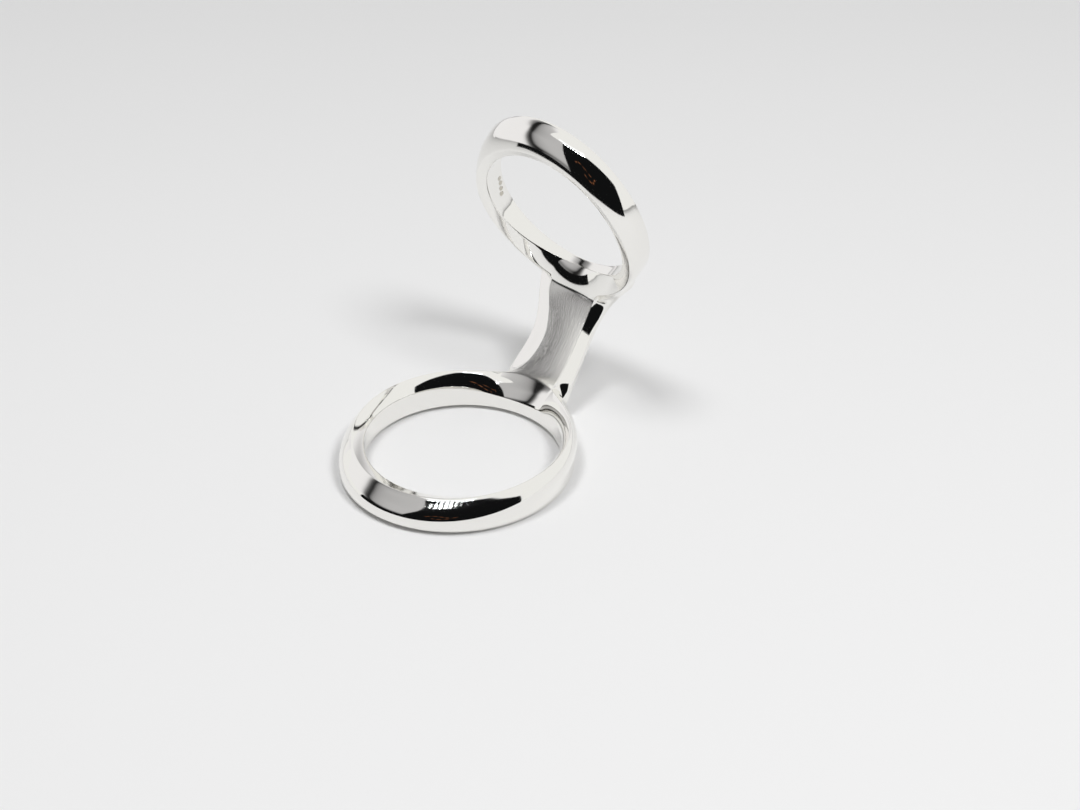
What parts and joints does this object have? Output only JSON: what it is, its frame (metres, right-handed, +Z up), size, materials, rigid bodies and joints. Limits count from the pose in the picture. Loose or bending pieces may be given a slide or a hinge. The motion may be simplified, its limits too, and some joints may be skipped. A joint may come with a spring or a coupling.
{
  "type": "splint ring",
  "caption": "Finger splint ring of polished silver: a round band for the lower joint, a smaller tilted band for the upper one, and a curved waisted bridge that joins them.",
  "frame": {"origin": "on the axis of the lower band's bore, on the surface that the lower band lies on", "axes": "+X from the lower band's axis to the bridge, +Z up along the lower band's axis, in the picture's resting pose"},
  "size_m": [0.0332, 0.0214, 0.0288],
  "materials": {
    "silver": "sterling silver, polished bright, with a satin front on the bridge"
  },
  "bodies": {
    "root": {"splint_ring": "silver"}
  },
  "joints": []
}
